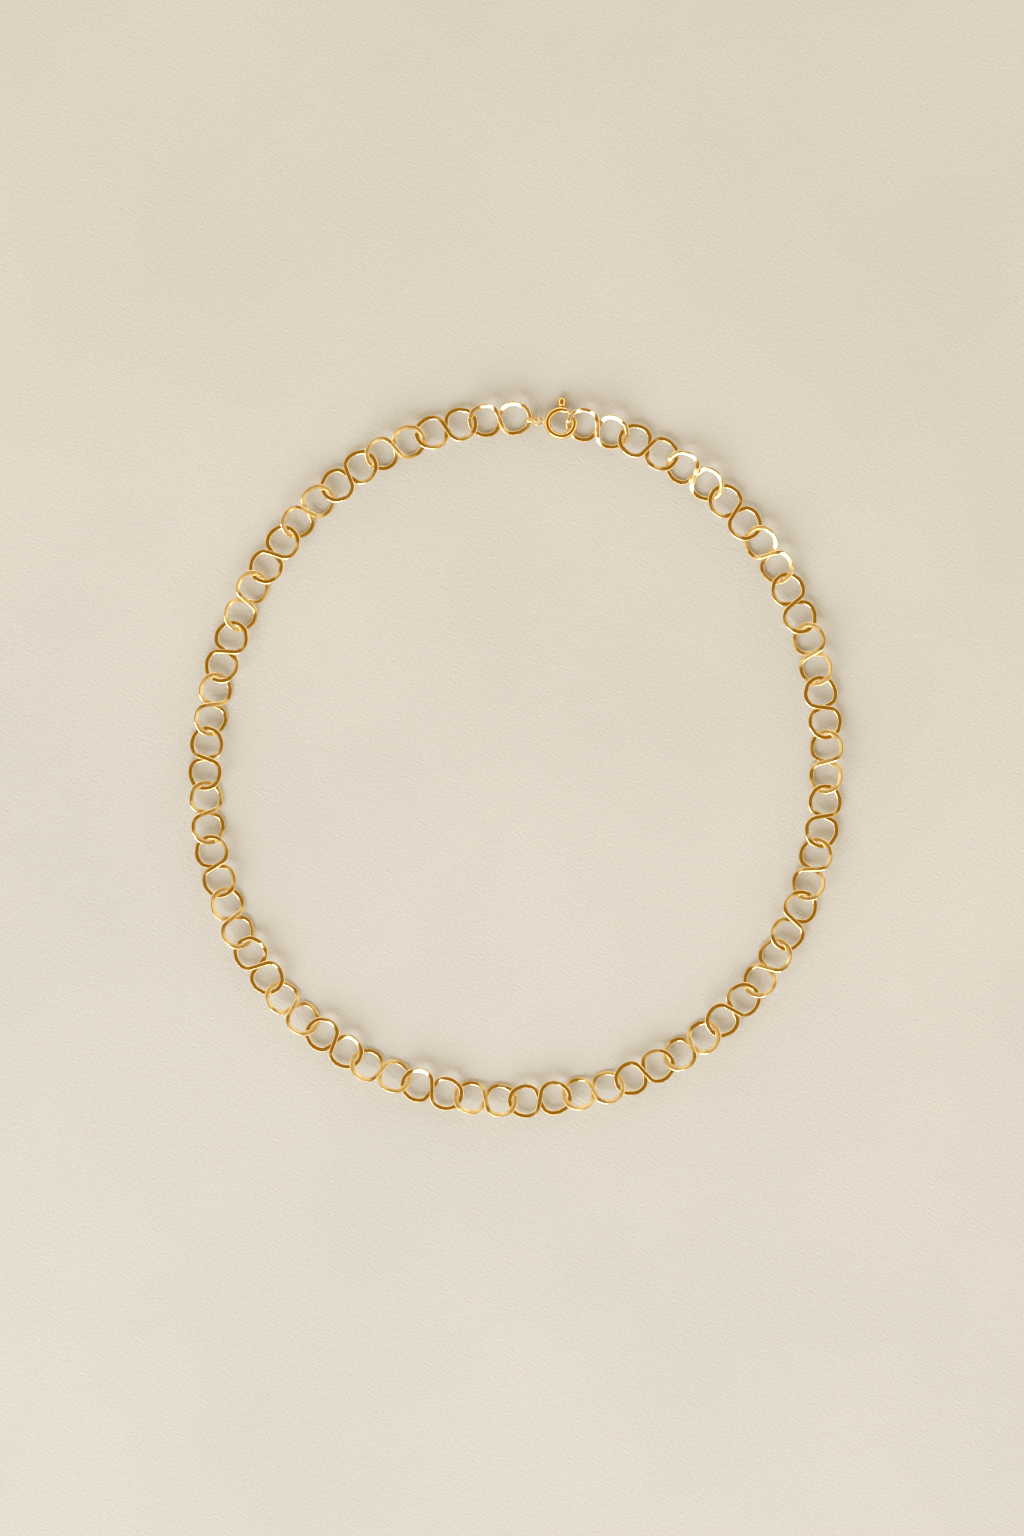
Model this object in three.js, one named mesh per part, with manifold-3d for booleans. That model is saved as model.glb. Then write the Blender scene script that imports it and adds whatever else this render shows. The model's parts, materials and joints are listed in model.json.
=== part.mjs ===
// Chain necklace: thirty-seven flattened figure-eight links, closed at the back by a 7 mm bolt ring clasp.
// It lies flat on the table (z = 0). +Y points to the back, where the clasp is; +Z is up. Millimetres.

import * as THREE from 'three';
import { mergeVertices } from 'three/addons/utils/BufferGeometryUtils.js';
import Module from 'manifold-3d';

const wasm = await Module();
wasm.setup();

// ---- Chain ----------------------------------------------------------------------------------
const LOBE_OUTER = 7.6;            // outside diameter of each half of a link
const LOBE_SPACING = 6.09;         // between the middles of a link's two halves
const LINK_SPACING = 5.8;         // from the last half of one link to the first half of the next
const WIRE_WIDE = 0.8;             // link wire, seen from the link's face
const WIRE_THICK = 0.45;           // link wire, through the link
const LOBE_STEPS = 18;
const CROSSING_GAP = 0.03;         // between the two strands where the wire crosses itself
const NECK_SLANT = 15;             // how far each strand leans from straight across at the crossing, degrees
const NECK_BEND = 0.3;             // how softly the strand turns from that line into the round half
const RISE_FROM = 100;             // where a strand starts to rise or sink for the crossing, degrees
const RISE_TO = 148;
const LINKS_PER_SIDE = 18;         // on each side of the front link
const LEAN_STEEP = 23;             // every second link leans this much, with its outer side up, degrees
const LEAN_FLAT = -11.4;           // the links between them lie flatter, with their outer side down
const LEAN_DRIFT = 1.5;            // how far both leans change along the chain
const SWAY = 0.12;                 // how far links stand beside the smooth line of the loop
const CHAIN_HEIGHT = 1.679;         // middle of the links above the table

// The loop's outline as a distance from its centre: a circle, made longer, narrower in front.
const LOOP_RADIUS = 71.4;
const LOOP_STRETCH = 3.43;
const LOOP_EGG = 0.6;
const LOOP_FLAT = -0.25;
const LOOP_SHIFT = -1.145;          // centres the whole necklace on the origin

// ---- Clasp ----------------------------------------------------------------------------------
const CLASP_OUTER = 7.0;
const CLASP_TUBE = 1.2;            // diameter of the clasp's tube
const CLASP_BORE = 0.84;           // hole in the tube for the bolt and the spring
const CLASP_ROLL = -10;            // how far the clasp leans, degrees
const CLASP_X = 2.66;              // middle of the clasp
// Places round the clasp, in degrees clockwise from the back.
const MOUTH_FROM = 18;
const MOUTH_TO = 74;
const BORE_END = -134;
const SOCKET_END = 96;
const SLOT_FROM = -66;
const SLOT_TO = 6;
const BOLT_FROM = -22;
const BOLT_TO = 80;
const POST_AT = -3;
const BOLT_WIRE = 0.6;
const POST_WIRE = 0.42;
const SLOT_WIDE = 0.56;
const KNOB_WIDE = 1.3;
const KNOB_FOOT = 3.62;            // from the clasp's middle to the underside of the knob
const KNOB_TALL = 1.5;
const SPRING_TURNS = 11;
const SPRING_WIRE = 0.12;
const SPRING_COIL = 0.58;          // outside diameter of the coil

const TAIL_EYE_OUTER = 2.2;
const TAIL_EYE_WIRE = 0.44;
const TAIL_EYE_X = -2.32;
const SHANK_WIRE = 0.5;
const JUMP_RING_OUTER = 3.0;
const JUMP_RING_WIRE = 0.5;
const JUMP_RING_X = -3.89;
const JUMP_RING_ROLL = -74;
const RING_SEGMENTS = 14;          // of the small round rings

// ---- Materials ------------------------------------------------------------------------------
const gold = new THREE.MeshStandardMaterial({ color: 0xd9a441, metalness: 1, roughness: 0.22 });
const claspGold = new THREE.MeshStandardMaterial({ color: 0xc8922f, metalness: 1, roughness: 0.2 });
const springSteel = new THREE.MeshStandardMaterial({ color: 0xb9b4a8, metalness: 1, roughness: 0.3 });

// ---- Shape helpers --------------------------------------------------------------------------
const radians = THREE.MathUtils.degToRad;

function toSolid(geometry) {
  const plain = geometry.clone();
  plain.deleteAttribute('normal');
  plain.deleteAttribute('uv');
  const merged = mergeVertices(plain, 1e-5);
  return new wasm.Manifold(new wasm.Mesh({
    numProp: 3,
    vertProperties: new Float32Array(merged.attributes.position.array),
    triVerts: new Uint32Array(merged.index.array),
  }));
}

function toGeometry(solid) {
  const mesh = solid.getMesh();
  const geometry = new THREE.BufferGeometry();
  geometry.setAttribute('position', new THREE.BufferAttribute(mesh.vertProperties, 3));
  geometry.setIndex(new THREE.BufferAttribute(mesh.triVerts, 1));
  geometry.computeVertexNormals();
  return geometry;
}

// Corners of a flattened wire's section, across it and through it, as shares of its width and thickness.
const FLAT_WIRE = [[0.5, 0], [0.28, 0.5], [-0.28, 0.5], [-0.5, 0], [-0.28, -0.5], [0.28, -0.5]];

// A ring of flattened wire about the Z axis. A corner of the ring points along +X and along -X.
function flatRing(outer, wide, thick, segments) {
  const middle = (outer - wide) / 2;
  const profile = [...FLAT_WIRE, FLAT_WIRE[0]].map(([across, through]) =>
    new THREE.Vector2(middle + across * wide, through * thick));
  const ring = new THREE.LatheGeometry(profile, segments);
  ring.rotateX(Math.PI / 2);
  ring.rotateZ(Math.PI / 2);
  return ring;
}

// How far the wire's middle is from the middle of its half, at an angle from the crossing: on a straight
// slanted line through the crossing at first, then on the half's circle.
function lobeReach(lobe, fromCrossing) {
  if (fromCrossing >= Math.PI / 2) return lobe;
  const slant = radians(NECK_SLANT);
  const line = LOBE_SPACING / 2 * Math.cos(slant) / Math.cos(fromCrossing - slant);
  const bend = NECK_BEND * Math.sin(2 * fromCrossing);
  return (lobe + line - Math.hypot(lobe - line, bend)) / 2;
}

// The middle of the wire in a link's right half, from the crossing (-180) round the far end (0) and
// back to the crossing (180). The wire comes in on top of itself below and goes out underneath above.
function lobePoint(degrees) {
  const lobe = (LOBE_OUTER - WIRE_WIDE) / 2;
  const turn = Math.abs(degrees);
  const reach = lobeReach(lobe, radians(180 - turn));
  const rise = THREE.MathUtils.smoothstep(turn, RISE_FROM, RISE_TO) * (WIRE_THICK + CROSSING_GAP) / 2;
  const angle = radians(degrees);
  return new THREE.Vector3(
    LOBE_SPACING / 2 + reach * Math.cos(angle),
    reach * Math.sin(angle),
    degrees < 0 ? rise : -rise,
  );
}

// A figure-eight link in its own plane, with its two halves along X. hand is 1 or -1.
function eightLink(hand) {
  const path = [];
  for (let i = 0; i < LOBE_STEPS; i += 1) path.push(lobePoint(-180 + 360 * i / LOBE_STEPS));
  for (let i = 0; i < LOBE_STEPS; i += 1) {
    const point = lobePoint(180 - 360 * i / LOBE_STEPS);
    path.push(new THREE.Vector3(-point.x, -point.y, point.z));
  }
  const count = path.length;
  const corners = [];
  path.forEach((point, i) => {
    const along = path[(i + 1) % count].clone().sub(path[(i + count - 1) % count]).setZ(0).normalize();
    FLAT_WIRE.forEach(([across, through]) => {
      corners.push(
        point.x + along.y * across * WIRE_WIDE,
        (point.y - along.x * across * WIRE_WIDE) * hand,
        point.z + through * WIRE_THICK,
      );
    });
  });
  const faces = [];
  const sides = FLAT_WIRE.length;
  for (let i = 0; i < count; i += 1) {
    for (let j = 0; j < sides; j += 1) {
      const a = i * sides + j;
      const b = i * sides + (j + 1) % sides;
      const c = (i + 1) % count * sides + j;
      const d = (i + 1) % count * sides + (j + 1) % sides;
      if (hand > 0) faces.push(a, c, b, b, c, d);
      else faces.push(a, b, c, b, d, c);
    }
  }
  const geometry = new THREE.BufferGeometry();
  geometry.setAttribute('position', new THREE.Float32BufferAttribute(corners, 3));
  geometry.setIndex(faces);
  geometry.computeVertexNormals();
  return geometry;
}

function ringPoint(radius, degrees) {
  const angle = radians(degrees);
  return new THREE.Vector3(radius * Math.sin(angle), radius * Math.cos(angle), 0);
}

// Part of a circle in the clasp's plane, from one place round the clasp to another.
class ClaspArc extends THREE.Curve {
  constructor(radius, from, to) {
    super();
    this.radius = radius;
    this.from = from;
    this.to = to;
  }

  getPoint(t) {
    return ringPoint(this.radius, THREE.MathUtils.lerp(this.from, this.to, t));
  }
}

function roundShape(radius, sides) {
  const shape = new THREE.Shape();
  for (let i = 0; i < sides; i += 1) {
    const angle = (i + 0.5) / sides * 2 * Math.PI;
    const x = radius * Math.cos(angle);
    const y = radius * Math.sin(angle);
    if (i === 0) shape.moveTo(x, y);
    else shape.lineTo(x, y);
  }
  shape.closePath();
  return shape;
}

function bentRod(diameter, from, to, sides, degreesPerStep) {
  const middle = (CLASP_OUTER - CLASP_TUBE) / 2;
  return new THREE.ExtrudeGeometry(roundShape(diameter / 2, sides), {
    steps: Math.ceil((to - from) / degreesPerStep),
    extrudePath: new ClaspArc(middle, from, to),
  });
}

// ---- Chain layout ---------------------------------------------------------------------------
function loopPoint(angle) {
  const reach = LOOP_RADIUS + LOOP_STRETCH * Math.cos(2 * angle)
    + LOOP_EGG * Math.cos(3 * angle) + LOOP_FLAT * Math.cos(4 * angle);
  return new THREE.Vector3(reach * Math.sin(angle), reach * Math.cos(angle) + LOOP_SHIFT, CHAIN_HEIGHT);
}

function angleAfter(angle, spacing) {
  const start = loopPoint(angle);
  let near = 0;
  let far = 0.3;
  for (let i = 0; i < 40; i += 1) {
    const middle = (near + far) / 2;
    if (loopPoint(angle - middle).distanceTo(start) < spacing) near = middle;
    else far = middle;
  }
  return angle - near;
}

// Middles of the links' halves on the right, from the front link's own to the one in the clasp.
// Number 0 belongs to the front link, numbers 1 and 2 to link 1, 3 and 4 to link 2, and so on.
function lobeMiddles() {
  const angles = [angleAfter(Math.PI, LOBE_SPACING / 2)];
  for (let i = 0; i < 2 * LINKS_PER_SIDE; i += 1) {
    angles.push(angleAfter(angles[i], i % 2 === 0 ? LINK_SPACING : LOBE_SPACING));
  }
  return angles.map((angle, i) => {
    const point = loopPoint(angle);
    const sway = 1 + SWAY * Math.sin(1.9 * i) / Math.hypot(point.x, point.y);
    return new THREE.Vector3(point.x * sway, point.y * sway, point.z);
  });
}

const lobes = lobeMiddles();
const lastLobe = lobes[2 * LINKS_PER_SIDE];

// The clasp and its jump ring lie in one straight line across the back.
const BACK_Y = lastLobe.y - 0.05;

function lean(index) {
  return (index % 2 === 0 ? LEAN_STEEP : LEAN_FLAT) + LEAN_DRIFT * Math.sin(0.6 * index);
}

// Which strand lies on top where a link's wire crosses itself: most links are bent the same way.
// Numbers on the left are negative, and these links are mirrored afterwards.
function hand(number) {
  const usual = number < 0 ? -1 : 1;
  return Math.abs(number * 7 + 3) % 10 < 3 ? -usual : usual;
}

function linkSolid(number) {
  const index = Math.abs(number);
  const near = index === 0 ? lobes[0].clone().multiply(new THREE.Vector3(-1, 1, 1)) : lobes[2 * index - 1];
  const far = lobes[2 * index];
  const heading = Math.atan2(far.y - near.y, far.x - near.x);
  const turn = new THREE.Quaternion().setFromEuler(new THREE.Euler(0, 0, heading));
  const outwardUp = new THREE.Quaternion().setFromEuler(new THREE.Euler(radians(-lean(index)), 0, 0));
  const place = new THREE.Matrix4();
  place.compose(near.clone().add(far).divideScalar(2), turn.multiply(outwardUp), new THREE.Vector3(1, 1, 1));
  const solid = toSolid(eightLink(hand(number)).applyMatrix4(place));
  return number < 0 ? solid.mirror([1, 0, 0]) : solid;
}

// ---- Assembly -------------------------------------------------------------------------------
const necklace = new THREE.Group();

function addMesh(parent, name, geometry, material) {
  const mesh = new THREE.Mesh(geometry, material);
  mesh.name = name;
  parent.add(mesh);
  return mesh;
}

function linkName(number) {
  const digits = String(Math.abs(number)).padStart(2, '0');
  if (number === 0) return 'front_link';
  return `${number < 0 ? 'left' : 'right'}_link_${digits}`;
}

for (let number = -LINKS_PER_SIDE; number <= LINKS_PER_SIDE; number += 1) {
  addMesh(necklace, linkName(number), toGeometry(linkSolid(number)), gold);
}

const jumpRing = addMesh(necklace, 'jump_ring',
  flatRing(JUMP_RING_OUTER, JUMP_RING_WIRE, JUMP_RING_WIRE, RING_SEGMENTS), gold);
jumpRing.position.set(JUMP_RING_X, BACK_Y, CHAIN_HEIGHT);
jumpRing.rotation.x = radians(JUMP_RING_ROLL);

// The clasp, in its own plane, with its mouth at the right and its tail eye at the left.
const clasp = new THREE.Group();
clasp.position.set(CLASP_X, BACK_Y, CHAIN_HEIGHT);
clasp.rotation.x = radians(CLASP_ROLL);
necklace.add(clasp);

function claspBody() {
  const middle = (CLASP_OUTER - CLASP_TUBE) / 2;
  const tube = toSolid(bentRod(CLASP_TUBE, MOUTH_TO, MOUTH_FROM + 360, 10, 12));
  const bore = toSolid(bentRod(CLASP_BORE, BORE_END, MOUTH_FROM + 8, 8, 8));
  const socket = toSolid(bentRod(CLASP_BORE, MOUTH_TO - 8, SOCKET_END, 8, 8));
  const slotShape = new THREE.Shape();
  slotShape.moveTo(-SLOT_WIDE / 2, 0);
  slotShape.lineTo(SLOT_WIDE / 2, 0);
  slotShape.lineTo(SLOT_WIDE / 2, CLASP_TUBE);
  slotShape.lineTo(-SLOT_WIDE / 2, CLASP_TUBE);
  slotShape.closePath();
  const slot = new THREE.ExtrudeGeometry(slotShape, {
    steps: 9,
    extrudePath: new ClaspArc(middle, SLOT_FROM, SLOT_TO),
  });
  return toGeometry(tube.subtract(bore).subtract(socket).subtract(toSolid(slot)));
}

function bolt() {
  const middle = (CLASP_OUTER - CLASP_TUBE) / 2;
  const post = new THREE.CylinderGeometry(POST_WIRE / 2, POST_WIRE / 2, KNOB_FOOT - middle, 8);
  post.translate(0, (KNOB_FOOT + middle) / 2, 0);
  post.rotateZ(radians(-POST_AT));
  return toGeometry(toSolid(bentRod(BOLT_WIRE, BOLT_FROM, BOLT_TO, 8, 8)).add(toSolid(post)));
}

// A barrel with a domed end, standing on the post.
function knob() {
  const half = KNOB_WIDE / 2;
  const profile = [[0, 0], [0.7 * half, 0], [0.9 * half, 0.25], [0.9 * half, 0.75], [half, 0.95],
    [0.95 * half, 1.2], [0.6 * half, KNOB_TALL - 0.06], [0, KNOB_TALL]];
  const shape = new THREE.LatheGeometry(profile.map(([x, y]) => new THREE.Vector2(x, y)), 14);
  shape.translate(0, KNOB_FOOT + 0.03, 0);
  shape.rotateZ(radians(-POST_AT));
  return shape;
}

class BentCoil extends THREE.Curve {
  getPoint(t) {
    const at = THREE.MathUtils.lerp(BORE_END + 4, BOLT_FROM - 4, t);
    const turn = 2 * Math.PI * SPRING_TURNS * t;
    const coil = (SPRING_COIL - SPRING_WIRE) / 2;
    const reach = (CLASP_OUTER - CLASP_TUBE) / 2 + coil * Math.cos(turn);
    return ringPoint(reach, at).setZ(coil * Math.sin(turn));
  }
}

// A round eye with a short shank to the clasp's tube.
function tailEye() {
  const eye = flatRing(TAIL_EYE_OUTER, TAIL_EYE_WIRE, TAIL_EYE_WIRE, RING_SEGMENTS);
  eye.translate(TAIL_EYE_X - CLASP_X, 0, 0);
  const from = TAIL_EYE_X - CLASP_X + TAIL_EYE_OUTER / 2 - 0.15;
  const to = -CLASP_OUTER / 2 - 0.02;
  const shank = new THREE.CylinderGeometry(SHANK_WIRE / 2, SHANK_WIRE / 2, to - from, 8);
  shank.rotateZ(Math.PI / 2);
  shank.translate((from + to) / 2, 0, 0);
  return toGeometry(toSolid(eye).add(toSolid(shank)));
}

addMesh(clasp, 'clasp_body', claspBody(), claspGold);
addMesh(clasp, 'clasp_bolt', bolt(), claspGold);
addMesh(clasp, 'clasp_knob', knob(), claspGold);
addMesh(clasp, 'clasp_tail_eye', tailEye(), claspGold);
addMesh(clasp, 'clasp_spring', new THREE.ExtrudeGeometry(roundShape(SPRING_WIRE / 2, 4), {
  steps: SPRING_TURNS * 8,
  extrudePath: new BentCoil(),
}), springSteel);

export default necklace;
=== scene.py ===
"""A gold chain necklace of flat figure-eight links with a bolt ring clasp, lying on pale paper."""

import bisect
import json
import math
import random

import bmesh
import bpy
import numpy as np
from mathutils import Matrix, Vector


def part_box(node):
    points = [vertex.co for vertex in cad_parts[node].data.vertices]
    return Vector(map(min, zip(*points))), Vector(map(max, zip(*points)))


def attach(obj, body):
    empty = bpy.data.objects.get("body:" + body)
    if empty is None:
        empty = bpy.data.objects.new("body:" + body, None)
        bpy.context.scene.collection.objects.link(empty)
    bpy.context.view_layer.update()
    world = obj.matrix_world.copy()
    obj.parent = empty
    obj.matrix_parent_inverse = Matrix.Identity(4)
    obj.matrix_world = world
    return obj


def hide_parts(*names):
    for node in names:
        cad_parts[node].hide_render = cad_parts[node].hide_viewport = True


MM = 0.001

# Links
LOBE_OUTER = 7.6 * MM      # each half of a figure-eight link
LOBE_SPACING = 6.09 * MM   # between the middles of the two halves
WIRE_WIDE = 0.8 * MM
WIRE_THICK = 0.45 * MM
NECK_SLANT = 15            # how far each strand leans from straight across at the crossing, degrees
NECK_BEND = 0.3 * MM       # how softly the strand turns from that line into the round half
RISE_FROM, RISE_TO = 100, 148  # degrees from the end of a half between which a strand rises or sinks
LOBE_STEPS = 96
# A quarter of the flat wire's section, from side to face, as shares of half its width and thickness
WIRE_EDGE = ((1.0, 0.0), (0.98, 0.38), (0.94, 0.55), (0.77, 0.93), (0.73, 0.985), (0.68, 1.0))
FLATS_PER_LINK = 18        # about this many hammered flats
FLAT_DIP = 0.04 * MM       # how far the middle of a flat stands inside the round
FLAT_EDGE = 0.3            # share of a flat in which the wire turns from the last one
FLAT_WIDE = (1.2, 1.32)    # the flats' width and thickness, as shares of the plain wire's
FLAT_THICK = (0.8, 0.9)
FLAT_TWIST = (-7, 7)       # degrees
FLAT_HEIGHT = (-0.02 * MM, 0.02 * MM)
FLAT_OUTLINE = (-0.03 * MM, 0.03 * MM)
SEAM_PINCH = 0.9           # the wire's share left at its soldered seam
FIRST_SEED = 17            # each link has its own flats
DISHED = 5                 # degrees that the face leans in towards the middle of each half
CONTACT = (40, 62)         # degrees from the end of a link within which it stays clear of the next one
CONTACT_ROOM = 0.1         # how much narrower than the plain wire its inner side is there, as a share

# Clasp, in its own plane: places are degrees clockwise from +Y, the knob's side
TUBE_WIDE = 1.36 * MM
BORE_WIDE = 0.88 * MM
CLASP_OUTER = 7.3 * MM
TUBE_MIDDLE = (CLASP_OUTER - TUBE_WIDE) / 2
MOUTH_FROM, MOUTH_TO = 18, 74
BORE_END = -134            # the bore behind the mouth, where the spring lies
SOCKET_END = 96            # the bore in front of it, which takes the bolt's tip
PAST_MOUTH = 6             # how far the bores run out into the mouth
SLOT_FROM, SLOT_TO = -66, 6
SLOT_WIDE = 0.5 * MM
SHARP_EDGE = 35            # edges of the cut ring that turn more than this stay sharp
BOLT_FROM, BOLT_TO = -22, 80
BOLT_WIDE = 0.58 * MM
BOLT_ROUNDED = 0.05        # share of the bolt's length that each of its ends is rounded over
POST_AT = -3
POST_WIDE = 0.42 * MM
KNOB_WIDE = 1.8 * MM
KNOB_FOOT = 3.72 * MM      # from the middle of the clasp
KNOB_TALL = 1.9 * MM
# The knob's outline from foot to top, as shares of half its width and of its height
KNOB_OUTLINE = ((0, 0), (0.8, 0), (0.92, 0.03), (0.95, 0.11), (0.86, 0.18), (0.86, 0.24), (0.95, 0.32),
                (1.0, 0.5), (1.0, 0.7), (0.95, 0.84), (0.84, 0.93), (0.66, 0.985), (0.35, 1.0), (0, 1.0))
SPRING_WIRE = 0.09 * MM
SPRING_BACK = (-130, -65)  # the coils that stay in the closed part of the bore
SPRING_FRONT = (-65, -26)  # the coils behind the bolt, which slide into the others as it opens
SPRING_BACK_WIDE = 0.86 * MM
SPRING_FRONT_WIDE = 0.62 * MM
SPRING_PITCH = 6           # degrees of the ring to each turn of the spring
EYE_WIRE = 0.44 * MM
SHANK_IN_EYE = 0.3 * MM    # how far the shank runs into the eye's wire
# The shank's outline from the eye to the clasp: half its width, and the share of its length
SHANK_OUTLINE = ((0, 0), (0.2 * MM, 0), (0.24 * MM, 0.15), (0.23 * MM, 0.5), (0.3 * MM, 0.85),
                 (0.42 * MM, 1), (0, 1))
SOLDERED = 0.1 * MM        # how far a piece runs into the one it is soldered to
JUMP_WIRE = 0.5 * MM
JUMP_CUT = 3               # degrees between the jump ring's ends
JUMP_CUT_AT = 65

METALS = {  # light and deep colour, least and most roughness, strength of the hammer marks
    "link_gold": ((1.0, 0.79, 0.43), (0.98, 0.73, 0.33), 0.08, 0.15, 0.08),
    "clasp_gold": ((0.98, 0.69, 0.27), (0.93, 0.6, 0.19), 0.08, 0.14, 0.05),
    "spring_steel": ((0.8, 0.78, 0.72), (0.62, 0.6, 0.55), 0.2, 0.32, 0.1),
}

# Light and camera
PHOTO_TURN = math.radians(5.35)  # the camera is turned about the vertical against the necklace
CAMERA_HEIGHT = 0.9
SENSOR = 36
PIXEL = 0.2188 * MM              # of the table, in a frame of 1024 by 1536 pixels
VIEW_LONG = 1536 * PIXEL
VIEW_SHIFT = (-1.2 * MM, -2.47 * MM)
TABLE_HALF = 3
KEY_SIDE, KEY_NEAR = -0.42, -0.91  # which way the key light stands from the necklace
KEY_AWAY = 2.08
KEY_HIGH = 1.2
KEY_SIZE = (3.0, 1.7)
KEY_POWER = 69
KEY_COLOUR = (0.74, 0.82, 1.0)
# The sky's colour from the bottom to the top: a bright band low down lights the bevels, and a dark top
# the flat faces.
SKY = ((0.0, (0.62, 0.55, 0.43)), (0.13, (0.7, 0.63, 0.5)), (0.2, (2.6, 2.55, 2.35)),
       (0.3, (2.1, 2.05, 1.85)), (0.42, (0.88, 0.83, 0.7)), (0.55, (0.86, 0.79, 0.63)),
       (0.7, (0.66, 0.53, 0.32)), (0.83, (0.33, 0.17, 0.01)), (1.0, (0.33, 0.17, 0.01)))

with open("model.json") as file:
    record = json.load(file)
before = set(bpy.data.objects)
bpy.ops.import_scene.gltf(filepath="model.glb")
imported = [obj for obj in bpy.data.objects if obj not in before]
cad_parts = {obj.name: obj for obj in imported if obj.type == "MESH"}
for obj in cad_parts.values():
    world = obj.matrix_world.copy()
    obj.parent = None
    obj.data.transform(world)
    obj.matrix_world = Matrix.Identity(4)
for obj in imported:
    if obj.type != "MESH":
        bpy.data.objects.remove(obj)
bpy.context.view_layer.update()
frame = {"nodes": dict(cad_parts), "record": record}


# ---- Meshes -----------------------------------------------------------------------------------
def new_object(name, mesh, place=None):
    obj = bpy.data.objects.new(name, mesh)
    bpy.context.scene.collection.objects.link(obj)
    if place is not None:
        obj.matrix_world = place
    return obj


def mesh_from(name, points, faces, smooth=True):
    mesh = bpy.data.meshes.new(name)
    mesh.from_pydata([tuple(p) for p in points], [], faces)
    mesh.polygons.foreach_set("use_smooth", [smooth] * len(mesh.polygons))
    mesh.update()
    return mesh


def circle(sides):
    """Points round a circle of radius 1."""
    return [(math.cos(2 * math.pi * i / sides), math.sin(2 * math.pi * i / sides)) for i in range(sides)]


def loft(name, rings, closed):
    """A skin over a row of sections with the same number of points each; open ends are capped."""
    count = len(rings[0])
    points = [p for ring in rings for p in ring]
    faces = []
    last = len(rings) if closed else len(rings) - 1
    for i in range(last):
        a = i * count
        b = (i + 1) % len(rings) * count
        for j in range(count):
            k = (j + 1) % count
            faces.append((a + j, b + j, b + k, a + k))
    if not closed:
        faces.append(tuple(range(count)))
        faces.append(tuple(reversed(range(len(points) - count, len(points)))))
    mesh = mesh_from(name, points, faces)
    fix_normals(mesh)
    return mesh


def fix_normals(mesh):
    shape = bmesh.new()
    shape.from_mesh(mesh)
    bmesh.ops.recalc_face_normals(shape, faces=shape.faces)
    shape.to_mesh(mesh)
    shape.free()


def lathe(name, profile, steps):
    """The profile, as (radius, height) pairs that start and end on the axis, turned about Y."""
    points = [(0, profile[0][1], 0)]
    faces = []
    inner = profile[1:-1]
    for radius, height in inner:
        points += [(radius * x, height, radius * z) for x, z in circle(steps)]
    points.append((0, profile[-1][1], 0))
    for j in range(steps):
        k = (j + 1) % steps
        faces.append((0, 1 + j, 1 + k))
        for i in range(len(inner) - 1):
            a = 1 + i * steps
            b = a + steps
            faces.append((a + j, b + j, b + k, a + k))
        a = 1 + (len(inner) - 1) * steps
        faces.append((len(points) - 1, a + k, a + j))
    mesh = mesh_from(name, points, faces)
    fix_normals(mesh)
    return mesh


# ---- Where the links are ----------------------------------------------------------------------
def node_points(name):
    return np.array([v.co for v in frame["nodes"][name].data.vertices], float)


def fit_ring(points):
    """Middle, axis and middle radius of the ring of wire that these points lie on."""
    mean = points.mean(0)
    axes = np.linalg.svd(points - mean)[2]
    normal = axes[2] if axes[2][2] > 0 else -axes[2]
    across = axes[:2]
    flat = (points - mean) @ across.T
    rows = np.c_[2 * flat, np.ones(len(flat))]
    a, b, c = np.linalg.lstsq(rows, (flat**2).sum(1), rcond=None)[0]
    return mean + a * across[0] + b * across[1], normal, math.sqrt(c + a * a + b * b)


def fit_eight(points):
    """Place of a figure-eight link, and which way its wire crosses: 1 or -1."""
    middle = points.mean(0)
    along, _, normal = np.linalg.svd(points - middle)[2]
    if normal[2] < 0:
        normal = -normal
    place = place_of((middle, normal, 0), along)
    local = (points - middle) @ np.array(place.to_3x3())
    near = np.abs(local[:, 0]) < LOBE_SPACING / 4
    return place, -1 if (local[near, 0] * local[near, 1] * local[near, 2]).sum() > 0 else 1


def place_of(ring, along):
    """The matrix that puts a ring made about Z at its place, with X along the chain."""
    middle, normal, _ = ring
    z = Vector(normal)
    x = Vector(along) - z * z.dot(Vector(along))
    x.normalize()
    y = z.cross(x)
    place = Matrix((x, y, z)).transposed().to_4x4()
    place.translation = Vector(middle)
    return place


# ---- Materials --------------------------------------------------------------------------------
def new_material(name):
    material = bpy.data.materials.new(name)
    material.use_nodes = True
    nodes = material.node_tree.nodes
    return material, nodes, material.node_tree.links, nodes["Principled BSDF"]


def ramp(nodes, stops):
    node = nodes.new("ShaderNodeValToRGB")
    elements = node.color_ramp.elements
    while len(elements) < len(stops):
        elements.new(0.5)
    for element, (at, value) in zip(elements, stops):
        element.position = at
        element.color = value if len(value) == 4 else (*value, 1)
    return node


def grey(value):
    return (value, value, value, 1)


def noise(nodes, links, place, scale, detail):
    node = nodes.new("ShaderNodeTexNoise")
    node.inputs["Scale"].default_value = scale
    node.inputs["Detail"].default_value = detail
    links.new(place, node.inputs["Vector"])
    return node.outputs["Fac"]


def bump(nodes, links, height, strength, distance, under=None):
    """A bump on top of the one under it, if there is one."""
    node = nodes.new("ShaderNodeBump")
    node.inputs["Strength"].default_value = strength
    node.inputs["Distance"].default_value = distance
    links.new(height, node.inputs["Height"])
    if under:
        links.new(under, node.inputs["Normal"])
    return node.outputs["Normal"]


def coloured(nodes, links, pattern, stops):
    node = ramp(nodes, stops)
    links.new(pattern, node.inputs["Fac"])
    return node.outputs["Color"]


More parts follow.
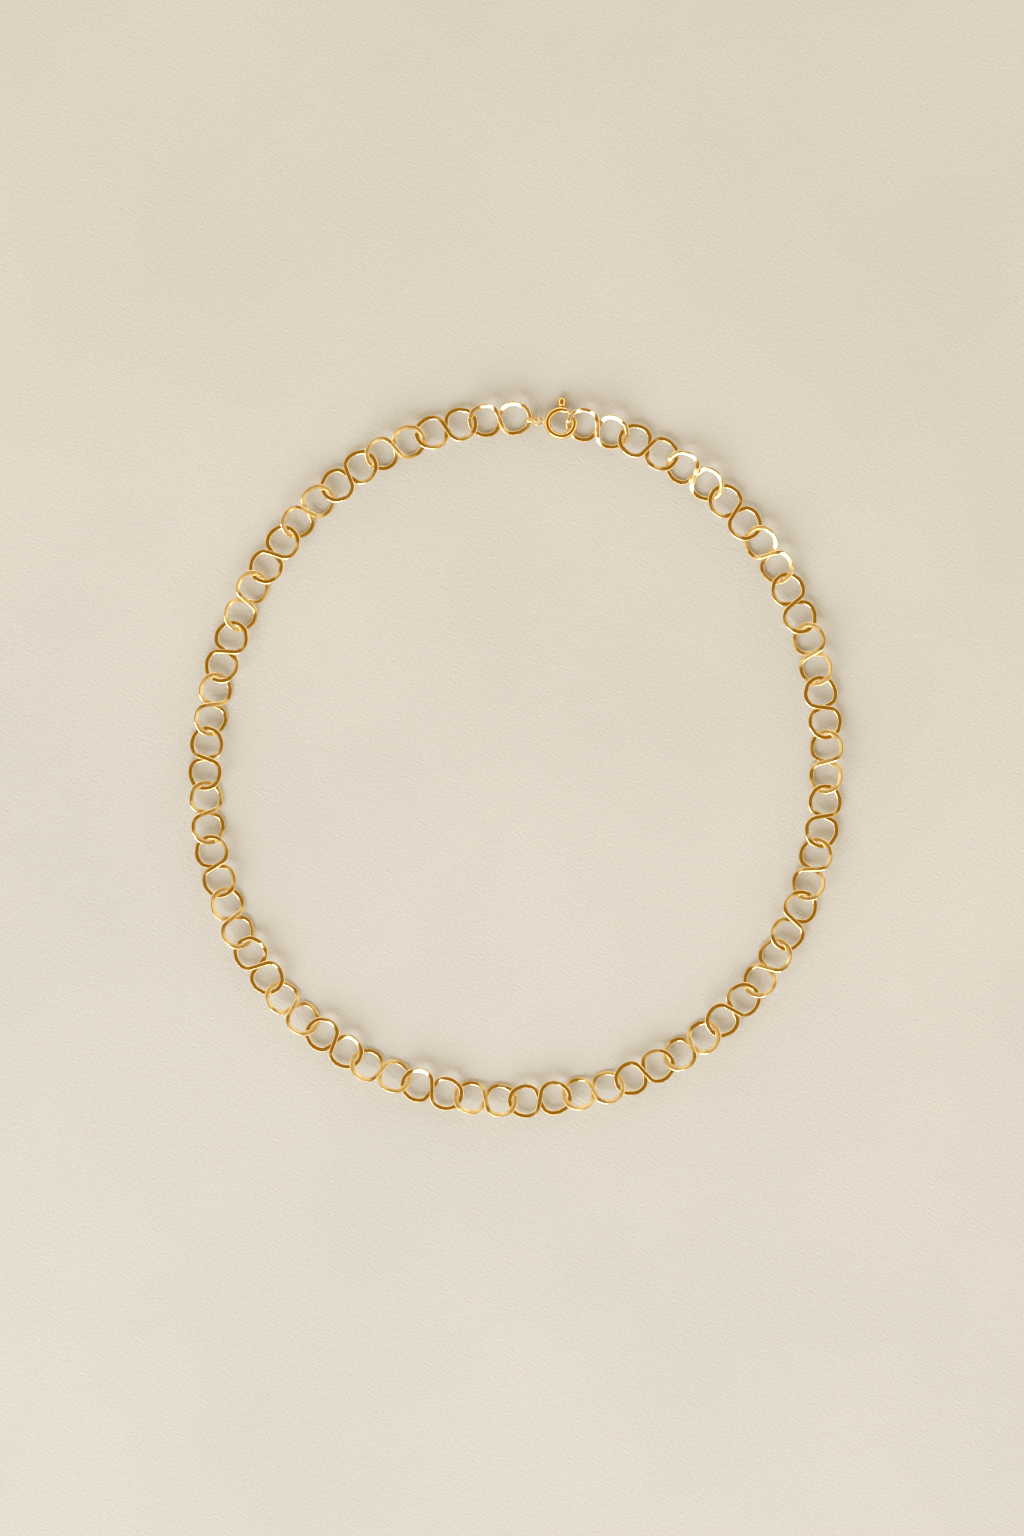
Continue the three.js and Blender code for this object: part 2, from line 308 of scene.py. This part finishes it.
def metal(name, light, deep, rough_low, rough_high, hammer):
    """Polished metal with a slow drift of colour, smears, soft hammer marks and fine scratches."""
    material, nodes, links, shader = new_material(name)
    place = nodes.new("ShaderNodeTexCoord").outputs["Object"]
    drift = noise(nodes, links, place, 420, 3)
    smear = noise(nodes, links, place, 1100, 4)
    marks = noise(nodes, links, place, 1500, 1.5)
    scratches = noise(nodes, links, place, 9000, 2)
    colour = coloured(nodes, links, drift, [(0.35, deep), (0.65, light)])
    rough = coloured(nodes, links, smear, [(0.3, grey(rough_low)), (0.7, grey(rough_high))])
    hammered = bump(nodes, links, marks, hammer, 0.06 * MM)
    scratched = bump(nodes, links, scratches, 0.12, 0.01 * MM, hammered)
    shader.inputs["Metallic"].default_value = 1.0
    links.new(colour, shader.inputs["Base Color"])
    links.new(rough, shader.inputs["Roughness"])
    links.new(scratched, shader.inputs["Normal"])
    return material


def paper():
    """Pale laid paper: faint clouds of tint and short fibres that lie aslant."""
    material, nodes, links, shader = new_material("pale_paper")
    place = nodes.new("ShaderNodeTexCoord").outputs["Object"]
    stretch = nodes.new("ShaderNodeMapping")
    stretch.vector_type = "TEXTURE"
    stretch.inputs["Rotation"].default_value = (0, 0, math.radians(-28))
    stretch.inputs["Scale"].default_value = (2.1, 1, 1)
    links.new(place, stretch.inputs["Vector"])
    cloud = noise(nodes, links, place, 14, 4)
    fibre = noise(nodes, links, stretch.outputs["Vector"], 2000, 4)
    tint = coloured(nodes, links, cloud, [(0.3, (0.66, 0.648, 0.592)), (0.7, (0.70, 0.686, 0.63))])
    shader.inputs["Roughness"].default_value = 0.9
    shader.inputs["Specular IOR Level"].default_value = 0.2
    links.new(tint, shader.inputs["Base Color"])
    links.new(bump(nodes, links, fibre, 0.42, 0.25 * MM), shader.inputs["Normal"])
    return material


materials = {slot: metal(slot, *look) for slot, look in METALS.items()}


# ---- Which body each piece rides on -----------------------------------------------------------
behaviour = frame["record"]["behaviour"]
body_of_node = {node: body for body, nodes in behaviour["bodies"].items() for node in nodes}


def dress(piece, slot, node, stands_for_it=True):
    """Gives a piece its slot's material, and the body of this CAD node to ride on."""
    piece.data.materials.append(materials[slot])
    if stands_for_it:
        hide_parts(node)
    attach(piece, body_of_node[node])


# ---- Links ------------------------------------------------------------------------------------
def smooth_step(value, low, high):
    t = min(max((value - low) / (high - low), 0.0), 1.0)
    return t * t * (3 - 2 * t)


def lobe_reach(lobe, from_crossing):
    """From the middle of a half to its wire: on a slanted line at the crossing, then on a circle."""
    if from_crossing >= 90:
        return lobe
    slant = math.radians(NECK_SLANT)
    line = LOBE_SPACING / 2 * math.cos(slant) / math.cos(math.radians(from_crossing - NECK_SLANT))
    bend = NECK_BEND * math.sin(math.radians(2 * from_crossing))
    return (lobe + line - math.hypot(lobe - line, bend)) / 2


def lobe_point(degrees, lobe):
    """The middle of the wire in the right half, from the crossing (-180) round to the crossing (180)."""
    turn = abs(degrees)
    reach = lobe_reach(lobe, 180 - turn)
    rise = smooth_step(turn, RISE_FROM, RISE_TO) * WIRE_THICK / 2
    angle = math.radians(degrees)
    across = LOBE_SPACING / 2 + reach * math.cos(angle)
    return Vector((across, reach * math.sin(angle), rise if degrees < 0 else -rise))


def flat_starts(rng, count):
    """Where the hammered flats start, as shares of the way round a link."""
    return sorted((i + rng.uniform(-0.3, 0.3)) / count for i in range(count))


def flat_at(starts, turn):
    """The flat at this place and how far along it the place is, from 0 to 1."""
    turn = turn % 1.0
    if turn < starts[0]:
        turn += 1
    i = bisect.bisect_right(starts, turn) - 1
    end = starts[i + 1] if i + 1 < len(starts) else starts[0] + 1
    return i, (turn - starts[i]) / (end - starts[i])


def per_flat(rng, starts, low, high):
    """A value for each flat, changing quickly from one flat to the next."""
    values = [rng.uniform(low, high) for _ in starts]

    def value(turn):
        i, t = flat_at(starts, turn)
        return values[i - 1] + (values[i] - values[i - 1]) * smooth_step(t, 0, FLAT_EDGE)

    return value


def per_edge(rng, starts, low, high):
    """A value for each edge between two flats, changing evenly along each flat."""
    values = [rng.uniform(low, high) for _ in starts]

    def value(turn):
        i, t = flat_at(starts, turn)
        return values[i] + (values[(i + 1) % len(values)] - values[i]) * t

    return value


def flat_section(wide, thick):
    """Corners of a flat wire's section with bevelled edges, as (across, through) pairs."""
    quarter = [(across * wide / 2, through * thick / 2) for across, through in WIRE_EDGE]
    half = quarter + [(-across, through) for across, through in reversed(quarter)]
    return half + [(across, -through) for across, through in reversed(half[1:-1])]


def contact_share(step):
    """1 where the wire may touch the next link, at the far end of each half, and 0 away from it."""
    from_end = abs(360 * (step % LOBE_STEPS) / LOBE_STEPS - 180)
    return 1 - smooth_step(from_end, *CONTACT)


def link_path(starts, rng):
    """The middle of the wire all the way round: first the right half, then the left one."""
    lobe = (LOBE_OUTER - WIRE_WIDE) / 2
    height = per_edge(rng, starts, *FLAT_HEIGHT)
    outline = per_edge(rng, starts, *FLAT_OUTLINE)
    path = []
    for i in range(2 * LOBE_STEPS):
        turn = i / (2 * LOBE_STEPS)
        t = flat_at(starts, turn)[1]
        free = 1 - contact_share(i)
        size = lobe + outline(turn) * free - FLAT_DIP * 4 * t * (1 - t) * (0.5 + 0.5 * free)
        if i < LOBE_STEPS:
            point = lobe_point(-180 + 360 * i / LOBE_STEPS, size)
        else:
            point = lobe_point(180 - 360 * (i - LOBE_STEPS) / LOBE_STEPS, size)
            point = Vector((-point.x, -point.y, point.z))
        point.z += height(turn) * free
        path.append(point)
    return path


def link_mesh(name, seed, hand):
    """A figure-eight link of hammered flat wire in its own plane, with its halves along X."""
    rng = random.Random(seed)
    starts = flat_starts(rng, FLATS_PER_LINK + rng.randint(-2, 2))
    path = link_path(starts, rng)
    width = per_flat(rng, starts, *FLAT_WIDE)
    thick = per_flat(rng, starts, *FLAT_THICK)
    twist = per_flat(rng, starts, *FLAT_TWIST)
    seam = rng.uniform(0.1, 0.4) + rng.choice((0, 0.5))
    rings = []
    count = len(path)
    for i, point in enumerate(path):
        turn = i / count
        travel = (path[(i + 1) % count] - path[i - 1]).to_2d().normalized()
        side = Vector((travel.y, -travel.x, 0))
        outward = 1 if i < count / 2 else -1
        near_seam = abs((turn - seam + 0.5) % 1 - 0.5) * count
        pinch = SEAM_PINCH if near_seam < 0.5 else 1.0
        contact = contact_share(i)
        shift = outward * contact * (width(turn) - 1 + CONTACT_ROOM) * WIRE_WIDE / 2
        flat_part = smooth_step(abs(point.x), 0.5 * MM, 2 * MM) * (1 - contact)
        lean = math.radians(twist(turn) + outward * DISHED) * flat_part
        wide = WIRE_WIDE * width(turn) * pinch
        section = []
        for across, through in flat_section(wide, WIRE_THICK * thick(turn) * pinch):
            corner = point + side * (shift + across * math.cos(lean) - through * math.sin(lean))
            corner.z += across * math.sin(lean) + through * math.cos(lean)
            section.append((corner.x, corner.y * hand, corner.z))
        rings.append(section)
    return loft(name, rings, closed=True)


link_nodes = sorted(name for name in frame["nodes"] if "_link" in name)
for seed, node in enumerate(link_nodes):
    place, hand = fit_eight(node_points(node))
    link = new_object("wire_" + node, link_mesh("wire_" + node, FIRST_SEED + seed, hand), place)
    dress(link, "link_gold", node)


# ---- Clasp ------------------------------------------------------------------------------------
bolt_joint = next(j for j in behaviour["joints"] if j["name"] == "bolt_slide")
clasp_place = place_of((bolt_joint["pos_m"], bolt_joint["axis"], 0), (1, 0, 0))


def clasp_point(radius, degrees, height=0.0):
    angle = math.radians(degrees)
    return Vector((radius * math.sin(angle), radius * math.cos(angle), height))


def bent_rod(name, wide, start, end, steps, sides=28, shape=None):
    """A round rod bent along the clasp's middle line. shape gives its width by the share of its length."""
    rings = []
    for i in range(steps + 1):
        t = i / steps
        at = start + (end - start) * t
        scale = shape(t) if shape else 1.0
        section = []
        for out, up in circle(sides):
            reach = TUBE_MIDDLE + wide / 2 * scale * out
            section.append(clasp_point(reach, at, wide / 2 * scale * up))
        rings.append(section)
    return loft(name, rings, closed=False)


def cut(obj, tools):
    """Cuts the tools out of the object and throws them away."""
    for tool in tools:
        change = obj.modifiers.new("cut", "BOOLEAN")
        change.operation = "DIFFERENCE"
        change.solver = "EXACT"
        change.object = tool
    graph = bpy.context.evaluated_depsgraph_get()
    result = bpy.data.meshes.new_from_object(obj.evaluated_get(graph))
    obj.modifiers.clear()
    obj.data = result
    for tool in tools:
        bpy.data.objects.remove(tool)


def rounded(length_share):
    """Rounded ends for a rod, as a share of its length."""
    def shape(t):
        end = min(t, 1 - t) / length_share
        return math.sqrt(max(1 - (1 - min(end, 1)) ** 2, 0.03))
    return shape


def slot_tool():
    """A bent bar that cuts the knob's slot through the outside of the clasp's tube."""
    rings = []
    steps = 36
    corners = ((-1, 0), (1, 0), (1, 1), (-1, 1))
    for i in range(steps + 1):
        at = SLOT_FROM + (SLOT_TO - SLOT_FROM) * i / steps
        section = []
        for side, up in corners:
            section.append(clasp_point(TUBE_MIDDLE + up * TUBE_WIDE, at, side * SLOT_WIDE / 2))
        rings.append(section)
    return loft("slot_tool", rings, closed=False)


def smooth_by_angle(obj, degrees):
    """Smooth faces with sharp edges where the surface turns more than this."""
    mesh = obj.data
    mesh.polygons.foreach_set("use_smooth", [True] * len(mesh.polygons))
    shape = bmesh.new()
    shape.from_mesh(mesh)
    for edge in shape.edges:
        if len(edge.link_faces) == 2 and edge.calc_face_angle(0) > math.radians(degrees):
            edge.smooth = False
    shape.to_mesh(mesh)
    shape.free()


tube = bent_rod("clasp_ring", TUBE_WIDE, MOUTH_TO, MOUTH_FROM + 360, 150)
ring = new_object("clasp_ring", tube, clasp_place)
bore = bent_rod("bore_tool", BORE_WIDE, BORE_END, MOUTH_FROM + PAST_MOUTH, 70, 24)
socket = bent_rod("socket_tool", BORE_WIDE, MOUTH_TO - PAST_MOUTH, SOCKET_END, 16, 24)
cut(ring, [
    new_object("bore_tool", bore, clasp_place),
    new_object("socket_tool", socket, clasp_place),
    new_object("slot_tool", slot_tool(), clasp_place),
])
smooth_by_angle(ring, SHARP_EDGE)
dress(ring, "clasp_gold", "clasp_body")

rod = bent_rod("clasp_bolt_rod", BOLT_WIDE, BOLT_FROM, BOLT_TO, 64, shape=rounded(BOLT_ROUNDED))
dress(new_object("clasp_bolt_rod", rod, clasp_place), "clasp_gold", "clasp_bolt")

post_place = clasp_place @ Matrix.Rotation(math.radians(-POST_AT), 4, "Z")
post_half = POST_WIDE / 2
post_top = KNOB_FOOT + SOLDERED
post_profile = [(0, TUBE_MIDDLE), (post_half, TUBE_MIDDLE), (post_half, post_top), (0, post_top)]
post = new_object("clasp_post", lathe("clasp_post", post_profile, 20), post_place)
dress(post, "clasp_gold", "clasp_bolt", stands_for_it=False)

knob_profile = [(radius * KNOB_WIDE / 2, KNOB_FOOT + height * KNOB_TALL) for radius, height in KNOB_OUTLINE]
knob = new_object("clasp_knob_ball", lathe("clasp_knob_ball", knob_profile, 36), post_place)
dress(knob, "clasp_gold", "clasp_knob")


def coil_mesh(name, wide, start, end):
    """A coil spring bent along the clasp's middle line."""
    rings = []
    turns = (end - start) / SPRING_PITCH
    steps = round(turns * 16)
    coil = (wide - SPRING_WIRE) / 2
    for i in range(steps + 1):
        t = i / steps
        at = start + (end - start) * t
        turn = 2 * math.pi * turns * t
        outward = clasp_point(1, at)
        middle = clasp_point(TUBE_MIDDLE + coil * math.cos(turn), at, coil * math.sin(turn))
        across = outward * math.cos(turn) + Vector((0, 0, math.sin(turn)))
        travel = clasp_point(1, at + 90)
        rings.append([middle + (across * x + travel * y) * SPRING_WIRE / 2 for x, y in circle(6)])
    return loft(name, rings, closed=False)


back_mesh = coil_mesh("clasp_coil", SPRING_BACK_WIDE, *SPRING_BACK)
dress(new_object("clasp_coil", back_mesh, clasp_place), "spring_steel", "clasp_spring")

front_mesh = coil_mesh("clasp_front_coil", SPRING_FRONT_WIDE, *SPRING_FRONT)
front_coil = new_object("clasp_front_coil", front_mesh, clasp_place)
dress(front_coil, "spring_steel", "clasp_bolt", stands_for_it=False)


def wire_ring(name, radius, wide, gap_degrees=0.0, gap_at=0.0, steps=72, sides=16):
    """A round wire ring about Z. With a gap, its two ends meet at gap_at."""
    rings = []
    count = steps if not gap_degrees else steps + 1
    for i in range(count):
        if gap_degrees:
            angle = math.radians(gap_at + gap_degrees / 2 + (360 - gap_degrees) * i / steps)
        else:
            angle = 2 * math.pi * i / steps
        section = []
        for out, rise in circle(sides):
            reach = radius + wide / 2 * out
            section.append((reach * math.cos(angle), reach * math.sin(angle), wide / 2 * rise))
        rings.append(section)
    return loft(name, rings, closed=not gap_degrees)


eye_low, eye_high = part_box("clasp_tail_eye")
eye_outer = eye_high.y - eye_low.y
eye_middle_x = eye_low.x + eye_outer / 2
eye_from_clasp = eye_middle_x - clasp_place.translation.x
eye_place = clasp_place @ Matrix.Translation((eye_from_clasp, 0, 0))
eye = new_object("clasp_eye", wire_ring("clasp_eye", (eye_outer - EYE_WIRE) / 2, EYE_WIRE), eye_place)
dress(eye, "clasp_gold", "clasp_tail_eye")

shank_from = eye_from_clasp + eye_outer / 2 - SHANK_IN_EYE
shank_long = SOLDERED - CLASP_OUTER / 2 - shank_from
shank_profile = [(radius, along * shank_long) for radius, along in SHANK_OUTLINE]
shank_start = clasp_place @ Matrix.Translation((shank_from, 0, 0))
shank_place = shank_start @ Matrix.Rotation(math.radians(-90), 4, "Z")
shank = new_object("clasp_shank", lathe("clasp_shank", shank_profile, 24), shank_place)
dress(shank, "clasp_gold", "clasp_tail_eye", stands_for_it=False)

jump = fit_ring(node_points("jump_ring"))
jump_wire = wire_ring("jump_ring_wire", jump[2], JUMP_WIRE, JUMP_CUT, JUMP_CUT_AT)
dress(new_object("jump_ring_wire", jump_wire, place_of(jump, (1, 0, 0))), "link_gold", "jump_ring")


# ---- Table, light and camera ------------------------------------------------------------------
corners = [(x * TABLE_HALF, y * TABLE_HALF, 0) for x, y in ((-1, -1), (1, -1), (1, 1), (-1, 1))]
floor = new_object("table", mesh_from("table", corners, [(0, 1, 2, 3)], smooth=False))
floor.data.materials.append(paper())

right = Vector((math.cos(PHOTO_TURN), math.sin(PHOTO_TURN), 0))
up = Vector((-math.sin(PHOTO_TURN), math.cos(PHOTO_TURN), 0))

# The key light is low, broad and a little blue, at the near left; the warm sky fills the rest.
key_data = bpy.data.lights.new("key", "AREA")
key_data.shape = "ELLIPSE"
key_data.size, key_data.size_y = KEY_SIZE
key_data.energy = KEY_POWER
key_data.color = KEY_COLOUR
key = new_object("key", key_data)
key.location = (right * KEY_SIDE + up * KEY_NEAR) * KEY_AWAY + Vector((0, 0, KEY_HIGH))
key.rotation_euler = (-key.location).to_track_quat("-Z", "Y").to_euler()

world = bpy.data.worlds.new("studio")
bpy.context.scene.world = world
world.use_nodes = True
wn, wl = world.node_tree.nodes, world.node_tree.links
background = wn["Background"]
coords = wn.new("ShaderNodeTexCoord")
split = wn.new("ShaderNodeSeparateXYZ")
sky = ramp(wn, SKY)
wl.new(coords.outputs["Generated"], split.inputs["Vector"])
wl.new(split.outputs["Z"], sky.inputs["Fac"])
wl.new(sky.outputs["Color"], background.inputs["Color"])
background.inputs["Strength"].default_value = 1.0

camera_data = bpy.data.cameras.new("camera")
camera_data.sensor_width = SENSOR
camera_data.lens = SENSOR * CAMERA_HEIGHT / VIEW_LONG
camera_data.clip_start = 0.01
camera_data.clip_end = 20
camera = new_object("camera", camera_data)
camera.location = right * VIEW_SHIFT[0] + up * VIEW_SHIFT[1] + Vector((0, 0, CAMERA_HEIGHT))
camera.rotation_euler = (0, 0, PHOTO_TURN)
bpy.context.scene.camera = camera
bpy.context.scene.view_settings.view_transform = "Standard"
